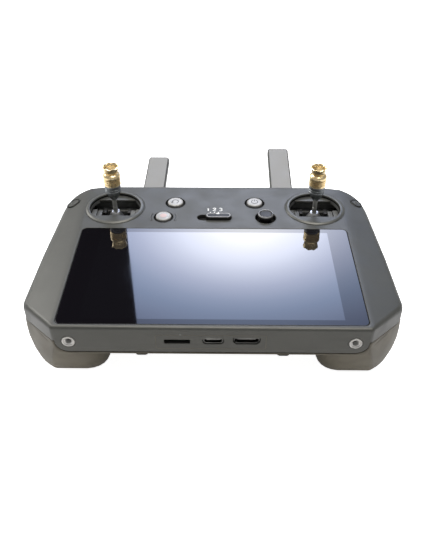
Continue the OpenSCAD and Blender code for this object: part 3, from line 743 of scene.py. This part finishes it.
def build_corner_buttons():
    """Outlines and ring signs on the two buttons at the far corners."""
    for name, way in (("back_button", -1), ("confirm_button", 1)):
        low, high = corner(name), corner(name, False)
        slope = math.radians(way * WING_SLOPE)
        stretch = 0.6 if way > 0 else 1.3
        reach = OVAL_R + stretch * math.cos(math.radians(OVAL_TURN))
        outer_x = high.x if way > 0 else low.x
        middle_x = outer_x - way * reach * math.cos(slope)
        top = (middle_x, (low.y + high.y) / 2, high.z - reach * math.sin(abs(slope)))
        turn = Matrix.Translation(top) @ Matrix.Rotation(slope, 4, "Y")
        turn = turn @ Matrix.Rotation(math.radians(-way * OVAL_TURN), 4, "Z")
        outline = arc((stretch, 0), 2.55, -90, 90, 12) + arc((-stretch, 0), 2.55, 90, 270, 12)

        def edge(bm, outline=outline, turn=turn):
            ribbon(bm, outline, 0.4, -0.2, 0.18, closed=True, turn=turn)

        put(name + "_outline", edge, "rubber", name)

        def sign(bm, turn=turn, way=way):
            ribbon(bm, arc((0, 0), 1.25, 40, 320, 20), 0.42, -0.2, 0.2, turn=turn)
            if way > 0:
                ribbon(bm, [(-0.6, 0), (0.6, 0)], 0.42, -0.2, 0.2, turn=turn)

        put(name + "_sign", sign, "zinc", name)


# ---- Far edge and back -----------------------------------------------------------------------


DIAL_RIBS = 30
DIAL_RIB_DEPTH = 0.4


def build_dial(side):
    """A finger wheel with a fine ribbed rim."""
    name = side + "_dial"
    low, high = corner(name), corner(name, False)
    centre = middle(name)
    height = high.z - low.z

    def ribs(angle, radius, level):
        if radius > 7.2:
            return radius - DIAL_RIB_DEPTH * (0.5 + 0.5 * math.cos(angle * DIAL_RIBS)) ** 0.6, level
        return radius, level

    profile = softened([(1.25, 0), (5, 0), (5.4, 0.3), (7.4, 0.3), (7.98, 0.9), (7.98, height - 0.9),
                        (7.4, height - 0.3), (5.4, height - 0.3), (5, height), (1.25, height),
                        (1.25, 0)], 0.2)
    put(side + "_wheel", lambda bm: lathe(bm, profile, (centre.x, centre.y, low.z), steps=240, shape=ribs),
        "dark", name, [name])


# The shoulder buttons point this many degrees behind straight sideways
SHOULDER_ANGLE = math.radians(39)


def build_shoulder_button(name, way):
    """A round button on the far corner, dished, with a thin ring."""
    centre = middle(name)
    out = Vector((way * math.cos(SHOULDER_ANGLE), math.sin(SHOULDER_ANGLE), 0))
    face = centre + out * 1.0
    tilt = tuple(out)
    profile = softened([(0, -4.2), (4.2, -4.2), (4.2, 1.5), (3.8, 2.1), (3.3, 2.1), (0, 1.5)], 0.2)
    put(name + "_cap", lambda bm: lathe(bm, profile, face, axis=tilt, steps=72), "dark", name,
        [name])
    ring = [(2.1, 1.6), (2.5, 1.6), (2.5, 1.95), (2.1, 1.95), (2.1, 1.6)]
    put(name + "_ring", lambda bm: lathe(bm, ring, face, axis=tilt, steps=48),
        "red" if name == "record_button" else "print", name)


def build_rear_button(side):
    """A round key on the back with a dished face."""
    name = side + "_rear_button"
    centre = middle(name)
    low, high = corner(name).z, corner(name, False).z
    profile = softened([(0, 0), (6.2, 0), (6.2, 0.8), (5, 0.8), (5, high - low - 0.3), (4.6, high - low),
                        (3.6, high - low), (0, high - low - 0.45)], 0.2)
    put(name + "_cap", lambda bm: lathe(bm, profile, (centre.x, centre.y, high), axis=(0, 0, -1), steps=72),
        "dark", name, [name])

    def number_marks(bm):
        count = 1 if side == "left" else 2
        for i in range(count):
            mark_x = centre.x + (i - (count - 1) / 2) * 1.6
            ribbon(bm, [(mark_x, centre.y - 1.3), (mark_x, centre.y + 1.3)], 0.6, low + 0.3, low + 0.6)

    put(name + "_marks", number_marks, "print", name)


# ---- Near wall -------------------------------------------------------------------------------


INSERT_R = 3.25
INSERT_DEPTH = 8.15
THREAD_PITCH = 0.7
THREAD_INNER_R, THREAD_OUTER_R = 1.6, 2.05


def build_inserts():
    """Two plated inserts with a chamfered mouth and a threaded bore, with a black disc partway down it
    painted as the shade deep in the hole.
    """
    low, high = corner("thread_inserts"), corner("thread_inserts", False)
    depth, pitch = INSERT_DEPTH, THREAD_PITCH
    collar = [(2.15, 0), (3.2, 0), (3.2, depth - 0.35), (2.95, depth), (2.4, depth),
              (2.15, depth - 0.25), (2.15, 0)]
    bore = [(2.13, 0), (2.13, depth - 0.3)]
    turns = int((depth - 1.2) / pitch)
    for i in range(turns):
        top = depth - 0.5 - i * pitch
        bore += [(THREAD_INNER_R, top), (THREAD_OUTER_R, top - pitch / 2)]
    bore += [(THREAD_INNER_R, depth - 0.5 - turns * pitch), (THREAD_INNER_R, 0), (2.13, 0)]
    # Painted shade: a black disc inside each bore stands for the dark depth of the hole.
    end = [(0, depth - 4.2), (1.9, depth - 4.2), (1.9, depth - 3.2), (0, depth - 3.2)]

    def pair(profile):
        def both(bm):
            for x in (low.x + INSERT_R, high.x - INSERT_R):
                lathe(bm, profile, (x, low.y + depth, (low.z + high.z) / 2), axis=(0, -1, 0), steps=56)
        return both

    put("insert_collars", pair(collar), "nickel", "housing", ["thread_inserts"])
    put("insert_threads", pair(bore), "nickel", "housing")
    put("insert_bore_shadows", pair(end), "rubber", "housing")


def build_near_wall():
    """The faint frame round the sockets, the status lamp above the card slot, and two rubber pads."""
    port_z = middle("usb_receptacle").z
    turn = Matrix.Translation((0, NEAR_Y, 0)) @ Matrix.Rotation(math.radians(90), 4, "X")
    zone = rounded_box_outline((-0.4, port_z - 0.65), (50.6, 8.4), 0.8)
    put("socket_frame", lambda bm: ribbon(bm, zone, 0.22, -0.05, 0.03, closed=True, turn=turn),
        "grip", "housing")
    lamp = [(0, -0.2), (0.5, -0.2), (0.5, 0.04), (0, 0.1)]
    put("status_lamp", lambda bm: lathe(bm, lamp, (-14.3, NEAR_Y, FACE_Z - 3.9), axis=(0, -1, 0), steps=24),
        "zinc", "housing")

    def pads(bm):
        for x in (-33, 33.5):
            slab(bm, rounded_box_outline((x, NEAR_Y + 4.7), (6, 6), 1.5), FACE_Z - 18.9, FACE_Z - 17.6)

    put("near_pads", pads, "rubber", "housing")


# ---- Camera, light and floor -----------------------------------------------------------------


CAMERA_LENS = 42.86
# Yaw, pitch and roll in degrees, and the camera's place from the near top edge in millimetres
CAMERA_ANGLES = (-0.690, 38.622, -0.069)
CAMERA_X, CAMERA_BACK, CAMERA_UP = 5.2, 207.5, 200.5


def set_camera():
    """The photograph's viewpoint: 38.6 degrees above, a little to the right of the middle."""
    data = bpy.data.cameras.new("camera")
    data.lens = CAMERA_LENS
    data.sensor_width = 36
    data.clip_start = 0.01
    camera = bpy.data.objects.new("camera", data)
    bpy.context.scene.collection.objects.link(camera)
    yaw, pitch, roll = (math.radians(angle) for angle in CAMERA_ANGLES)
    away = Vector((math.sin(yaw) * math.cos(pitch), math.cos(yaw) * math.cos(pitch), -math.sin(pitch)))
    right = Vector((math.cos(yaw), -math.sin(yaw), 0))
    up = right.cross(away)
    tilted_right = right * math.cos(roll) + up * math.sin(roll)
    tilted_up = up * math.cos(roll) - right * math.sin(roll)
    turn = Matrix((tilted_right, tilted_up, -away)).transposed().to_4x4()
    spot = Vector((CAMERA_X, NEAR_Y - CAMERA_BACK, FACE_Z + CAMERA_UP)) * MM
    camera.matrix_world = Matrix.Translation(spot) @ turn
    bpy.context.scene.camera = camera


LAMP_TARGET = (0, 0, 0.04)


def area_light(name, spot, size, power, colour):
    """A rectangular lamp that points at the middle of the object."""
    data = bpy.data.lights.new(name, "AREA")
    data.shape = "RECTANGLE"
    data.size, data.size_y = size
    data.energy = power
    data.color = colour
    lamp = bpy.data.objects.new(name, data)
    bpy.context.scene.collection.objects.link(lamp)
    lamp.location = spot
    lamp.rotation_mode = "QUATERNION"
    lamp.rotation_quaternion = (Vector(LAMP_TARGET) - Vector(spot)).to_track_quat("-Z", "Y")


def flat_mesh(name, corners):
    """A single four-cornered sheet for the stage, in metres."""
    mesh = bpy.data.meshes.new(name)
    bm = bmesh.new()
    bm.faces.new([bm.verts.new(c) for c in corners])
    bm.to_mesh(mesh)
    bm.free()
    sheet = bpy.data.objects.new(name, mesh)
    bpy.context.scene.collection.objects.link(sheet)
    return sheet


# The card stands CARD_Y metres away. Its edges and centre are slopes seen from the middle of the glass.
CARD_Y = 3.0
CARD_LEFT, CARD_RIGHT = -0.203, 0.75
CARD_LOW, CARD_HIGH = 0.42, 1.35
CARD_CENTRE = (0.05, 0.70)
CARD_LEVEL = 9.3
CARD_NARROWER = 0.72
CARD_FADE = 0.4
FLAG_WIDTH = 0.25


def card_sheet(name, left, right):
    """An upright sheet behind the controller, between two slopes to the left and right."""
    z0 = FACE_Z * MM
    corners = [(a * CARD_Y, CARD_Y, z0 + e * CARD_Y) for a, e in (
        (left, CARD_LOW), (right, CARD_LOW), (right, CARD_HIGH), (left, CARD_HIGH))]
    sheet = flat_mesh(name, corners)
    sheet.visible_camera = False
    return sheet


def set_screen_card():
    """A softbox high behind the controller. It mirrors in the glass and lights the face from behind."""
    card = card_sheet("softbox", CARD_LEFT, CARD_RIGHT)
    m = Nodes("softbox")
    shift = m.add("ShaderNodeVectorMath", operation="SUBTRACT")
    m.join(m.coords, shift.inputs[0])
    shift.inputs[1].default_value = (CARD_CENTRE[0] * CARD_Y, CARD_Y, FACE_Z * MM + CARD_CENTRE[1] * CARD_Y)
    squeeze = m.add("ShaderNodeVectorMath", operation="MULTIPLY")
    m.join(shift.outputs[0], squeeze.inputs[0])
    squeeze.inputs[1].default_value = (CARD_NARROWER, 1, 1)
    away = m.add("ShaderNodeVectorMath", operation="LENGTH")
    m.join(squeeze.outputs[0], away.inputs[0])
    reach = m.maths("DIVIDE", away.outputs["Value"], CARD_Y * CARD_FADE)
    tone = m.ramp(reach, [(0.0, (0.93, 0.94, 0.98)), (0.11, (0.86, 0.88, 0.96)), (0.24, (0.68, 0.72, 0.86)),
                          (0.32, (0.53, 0.57, 0.71)), (0.42, (0.38, 0.42, 0.56)), (0.53, (0.26, 0.31, 0.44)),
                          (0.62, (0.20, 0.25, 0.37)), (0.8, (0.14, 0.17, 0.26)), (1.0, (0.08, 0.10, 0.16))])
    glow = m.add("ShaderNodeEmission")
    glow.inputs["Strength"].default_value = CARD_LEVEL
    m.join(tone, glow.inputs["Color"])
    m.join(glow.outputs[0], m.tree.nodes["Material Output"].inputs["Surface"])
    card.data.materials.append(m.material)
    flag = card_sheet("black_flag", CARD_LEFT - FLAG_WIDTH, CARD_LEFT)
    dull = Nodes("black_cloth")
    dull.join(dull.ramp(dull.noise(20), [(0.3, (0.002, 0.002, 0.003)), (0.7, (0.004, 0.004, 0.005))]),
              dull.shader.inputs["Base Color"])
    dull.shader.inputs["Specular IOR Level"].default_value = 0
    flag.data.materials.append(dull.material)
    flag.visible_diffuse = False


FLOOR_REACH = 6
FLOOR_GLOW = 0.14
FLOOR_SEEN_GLOW = 0.8


def set_floor():
    """A white floor, seen only from above, that glows a little so that the shadows stay faint."""
    square = ((-1, -1), (1, -1), (1, 1), (-1, 1))
    floor = flat_mesh("floor", [(a * FLOOR_REACH, b * FLOOR_REACH, 0) for a, b in square])
    m = Nodes("floor_white")
    m.join(m.ramp(m.noise(3), [(0.3, (0.93, 0.93, 0.93)), (0.7, (0.96, 0.96, 0.96))]),
           m.shader.inputs["Base Color"])
    m.shader.inputs["Roughness"].default_value = 0.9
    m.shader.inputs["Emission Color"].default_value = (1, 1, 1, 1)
    seen = m.add("ShaderNodeLightPath").outputs["Is Camera Ray"]
    strength = m.maths("ADD", FLOOR_GLOW, m.maths("MULTIPLY", seen, FLOOR_SEEN_GLOW))
    m.join(strength, m.shader.inputs["Emission Strength"])
    geometry = m.add("ShaderNodeNewGeometry")
    clear = m.add("ShaderNodeBsdfTransparent")
    mix = m.add("ShaderNodeMixShader")
    m.join(geometry.outputs["Backfacing"], mix.inputs[0])
    m.join(m.shader.outputs[0], mix.inputs[1])
    m.join(clear.outputs[0], mix.inputs[2])
    m.join(mix.outputs[0], m.tree.nodes["Material Output"].inputs["Surface"])
    floor.data.materials.append(m.material)


ROOM_DIFFUSE = 0.18
ROOM_MIRRORED = 0.35


def set_world():
    """A pale room that is dimmer where it is mirrored, as between the lamps of a studio."""
    world = bpy.data.worlds.new("world")
    bpy.context.scene.world = world
    world.use_nodes = True
    tree = world.node_tree
    path = tree.nodes.new("ShaderNodeLightPath")
    level = tree.nodes.new("ShaderNodeMapRange")
    level.inputs["To Min"].default_value = ROOM_DIFFUSE
    level.inputs["To Max"].default_value = ROOM_MIRRORED
    tree.links.new(path.outputs["Is Glossy Ray"], level.inputs["Value"])
    seen = tree.nodes.new("ShaderNodeMath")
    seen.operation = "MAXIMUM"
    tree.links.new(path.outputs["Is Camera Ray"], seen.inputs[0])
    tree.links.new(level.outputs["Result"], seen.inputs[1])
    tree.links.new(seen.outputs["Value"], tree.nodes["Background"].inputs["Strength"])
    tree.nodes["Background"].inputs["Color"].default_value = (1, 1, 1, 1)
    bpy.context.scene.view_settings.view_transform = "Standard"


dress_cad_nodes()
build_glass()
for side_name in SIDES:
    build_stick(side_name)
    build_bezel(side_name)
    build_gate(side_name)
    build_dial(side_name)
    build_rear_button(side_name)
for key_name, hole in (("return_button", 5.6), ("power_button", 5.6), ("pause_button", 5.35)):
    build_round_key(key_name, hole)
build_icons()
build_mode_switch()
build_five_way()
build_corner_buttons()
build_shoulder_button("record_button", -1)
build_shoulder_button("shutter_button", 1)
build_inserts()
build_near_wall()
set_camera()
set_floor()
set_world()
set_screen_card()
area_light("left_softbox", (-1.6, 1.2, 1.5), (0.9, 1.2), 28, (1, 0.99, 0.97))
area_light("overhead", (0.1, 0.1, 1.8), (1.2, 0.9), 31, (1, 0.98, 0.94))
